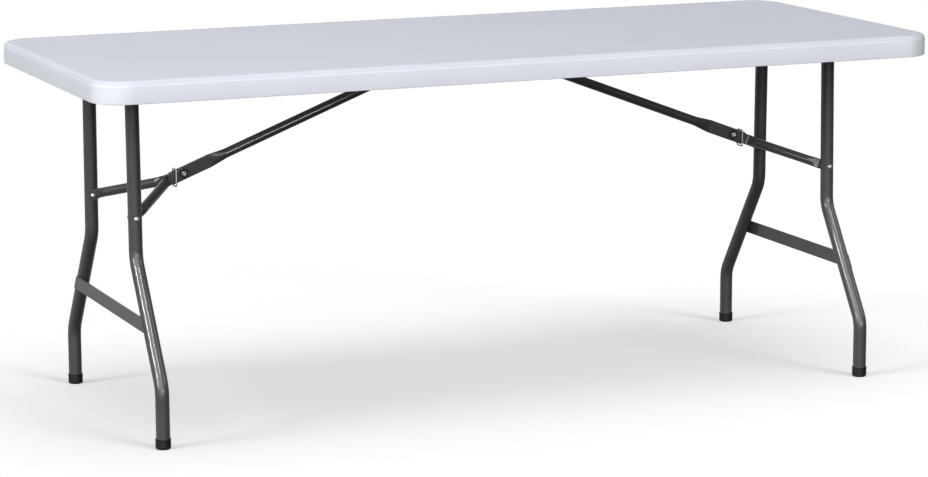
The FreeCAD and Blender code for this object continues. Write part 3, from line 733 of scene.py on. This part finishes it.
half_floor = 40.0
floor_roller_mm = 300
floor_glow = 0.33
floor_mesh = bpy.data.meshes.new("floor")
floor_mesh.from_pydata([(-half_floor, -half_floor, 0), (half_floor, -half_floor, 0),
                        (half_floor, half_floor, 0), (-half_floor, half_floor, 0)], [], [(0, 1, 2, 3)])
floor = bpy.data.objects.new("floor", floor_mesh)
bpy.context.scene.collection.objects.link(floor)
floor_acrylic, tree = new_finish("backlit_white_acrylic")
place = add_node(tree, "TexCoord").outputs["Object"]
roller = add_node(tree, "TexNoise", Vector=place, Scale=per_metre(floor_roller_mm), Detail=2.0)
tint = add_node(tree, "ValToRGB", Fac=roller.outputs["Fac"])
tint.color_ramp.elements[0].color = linear("#F8F8F8")
tint.color_ramp.elements[1].color = linear("#FAFAFA")
acrylic = add_node(tree, "BsdfPrincipled", Base_Color=tint.outputs["Color"], Roughness=0.9,
                   Specular_IOR_Level=0.0, Emission_Color=linear("#FFFFFF"),
                   Emission_Strength=floor_glow)
add_node(tree, "OutputMaterial", Surface=acrylic.outputs["BSDF"])
floor_mesh.materials.append(floor_acrylic)
floor.visible_glossy = False
floor.visible_diffuse = False
floor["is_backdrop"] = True
print("floor of", 2 * half_floor, "m")

# %% [markdown]
# The surround gives the even part of the light. Its upper half is grey at the horizon and white
# overhead, like the walls and ceiling of a studio. Its lower half is dark in front of the table and
# bright behind it, because that is where a floor lit from below would show in the paint of the tubes.

# %% Surround

ceiling_begins = 0.75
bright_behind = 0.5
front_glow = 0.15
back_glow = 1.6
surround_strength = 0.26
world = bpy.data.worlds.new("pale_studio")
bpy.context.scene.world = world
world.use_nodes = True
sky = world.node_tree
direction = add_node(sky, "SeparateXYZ", Vector=add_node(sky, "TexCoord").outputs["Generated"])
walls = add_node(sky, "ValToRGB", Fac=direction.outputs["Z"])
walls.color_ramp.elements[0].position = 0.0
walls.color_ramp.elements[0].color = linear("#707274")
walls.color_ramp.elements[1].position = ceiling_begins
walls.color_ramp.elements[1].color = linear("#FFFFFF")
sweep = add_node(sky, "MapRange", Value=direction.outputs["Y"], From_Min=0.0, From_Max=bright_behind,
                 To_Min=front_glow, To_Max=back_glow)
below = add_node(sky, "Math", {"operation": "LESS_THAN"}, i0=direction.outputs["Z"], i1=0.0)
# A mix of colours has its two colour inputs at places 6 and 7 and its colour output at place 2.
light_seen = add_node(sky, "Mix", {"data_type": "RGBA"}, Factor=below.outputs["Value"],
                      i6=walls.outputs["Color"], i7=sweep.outputs["Result"])
background = sky.nodes["Background"]
sky.links.new(light_seen.outputs[2], background.inputs["Color"])
background.inputs["Strength"].default_value = surround_strength
print("surround", world.name)

# %% [markdown]
# One softbox hangs near, over the left end, so its light falls off along the top and the far right
# corner is a little darker. The floor isn't lit by it: light linking tells a lamp which pieces take its
# light and which of them block it. A collection with one piece in it, taken in or left out, is enough.

# %% Light links and overhead softbox


def light_link(name, piece, state):
    """Collection that tells a lamp to deal with one piece alone, or to pass over it."""
    link = bpy.data.collections.new(name)
    link.objects.link(piece)
    link.collection_objects[0].light_linking.link_state = state
    return link


past_the_floor = light_link("past_the_floor", floor, "EXCLUDE")
floor_alone = light_link("floor_alone", floor, "INCLUDE")
past_the_top = light_link("past_the_top", moulded_top, "EXCLUDE")

softbox_metres = 0.6
softbox_watts = 9.5
softbox_place = (-1.0, -0.6, 2.74)
softbox = bpy.data.lights.new("overhead_softbox", "AREA")
softbox.shape = "DISK"
softbox.size = softbox_metres
softbox.energy = softbox_watts
overhead_softbox = bpy.data.objects.new("overhead_softbox", softbox)
overhead_softbox.location = softbox_place
overhead_softbox.visible_camera = False
overhead_softbox.light_linking.receiver_collection = past_the_floor
bpy.context.scene.collection.objects.link(overhead_softbox)
print(softbox.name, "of", softbox_watts, "W")

# %% [markdown]
# The other lamps are far away, so each lights the whole table evenly. A large softbox in front lights
# the rim and a weaker one behind keeps the back readable. A lamp on the left and a weak one on the
# right shape the legs. Three narrow strips are seen only in reflections: they draw the bright lines
# along the tubes, which is what makes gloss paint read as gloss. The floor has lamps of its own: a
# wide one overhead throws the soft pool under the top, and two low ones, which the top doesn't block,
# give each foot its shadows. The plain view transform keeps whites white.

# %% Far lamps


def far_light(name, direction, width_degrees, strength, only_reflected=False,
              receivers=past_the_floor, blockers=None):
    """Round light far away in a direction, as wide as it looks from the table."""
    light = bpy.data.lights.new(name, "SUN")
    light.energy = strength
    light.angle = math.radians(width_degrees)
    lamp = bpy.data.objects.new(name, light)
    lamp.rotation_euler = (-Vector(direction)).to_track_quat("-Z", "Y").to_euler()
    lamp.visible_diffuse = not only_reflected
    lamp.light_linking.receiver_collection = receivers
    lamp.light_linking.blocker_collection = blockers
    bpy.context.scene.collection.objects.link(lamp)


far_light("front_softbox", (-0.37, -0.80, 0.47), 60, 2.5)
far_light("back_softbox", (0.25, 0.92, 0.30), 50, 0.5)
far_light("left_lamp", (-0.91, -0.25, 0.33), 16, 1.25)
far_light("right_lamp", (0.80, -0.35, 0.50), 18, 0.33)
far_light("left_strip", (-0.79, -0.22, 0.57), 6, 0.9, only_reflected=True)
far_light("high_front_strip", (0.0, -0.58, 0.82), 5, 0.38, only_reflected=True)
far_light("low_front_strip", (0.208, -0.961, 0.18), 8, 0.5, only_reflected=True)
far_light("floor_light", (0.02, -0.14, 0.99), 42, 0.73, receivers=floor_alone)
far_light("left_foot_lamp", (-0.90, -0.15, 0.40), 24, 1.1, receivers=floor_alone, blockers=past_the_top)
far_light("right_foot_lamp", (0.43, -0.81, 0.40), 24, 1.1, receivers=floor_alone, blockers=past_the_top)
bpy.context.scene.view_settings.view_transform = "Standard"
print("lamps:", ", ".join(sorted(light.name for light in bpy.data.lights)))

# %% [markdown]
# The camera repeats the photograph: a long lens from the front left, a little above the top. Its
# place and angles come from fitting the known corners of the table to the picture, so the render
# can be laid over it.

# %% Camera

image_width = 928
focal_pixels = 3179.48
azimuth = math.radians(22.8158)
elevation = math.radians(10.5982)
roll = math.radians(-0.2370)
camera_place = (-2.58817, -6.13101, 1.55300)
level_forward = Vector((math.sin(azimuth), math.cos(azimuth), 0.0))
forward = level_forward * math.cos(elevation) - Vector((0.0, 0.0, math.sin(elevation)))
level_right = Vector((math.cos(azimuth), -math.sin(azimuth), 0.0))
level_up = level_right.cross(forward)
right = level_right * math.cos(roll) + level_up * math.sin(roll)
up = level_up * math.cos(roll) - level_right * math.sin(roll)
lens = bpy.data.cameras.new("camera")
lens.sensor_fit = "HORIZONTAL"
lens.sensor_width = 36.0
lens.lens = focal_pixels / image_width * lens.sensor_width
lens.clip_end = 200.0
camera = bpy.data.objects.new("camera", lens)
turn = Matrix((right, up, -forward)).transposed().to_4x4()
camera.matrix_world = Matrix.Translation(camera_place) @ turn
bpy.context.scene.collection.objects.link(camera)
bpy.context.scene.camera = camera
print("camera with a", round(lens.lens, 2), "mm lens")

# %% [markdown]
# Last, the size of the dressed table is set beside the size of the solids, and the dressed size is
# printed.

# %% Size and finish

visual_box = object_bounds()
sizes = {
    "cad": [list(corner) for corner in cad_box],
    "visual": [list(corner) for corner in visual_box],
}
print("dressed box", sizes["visual"])
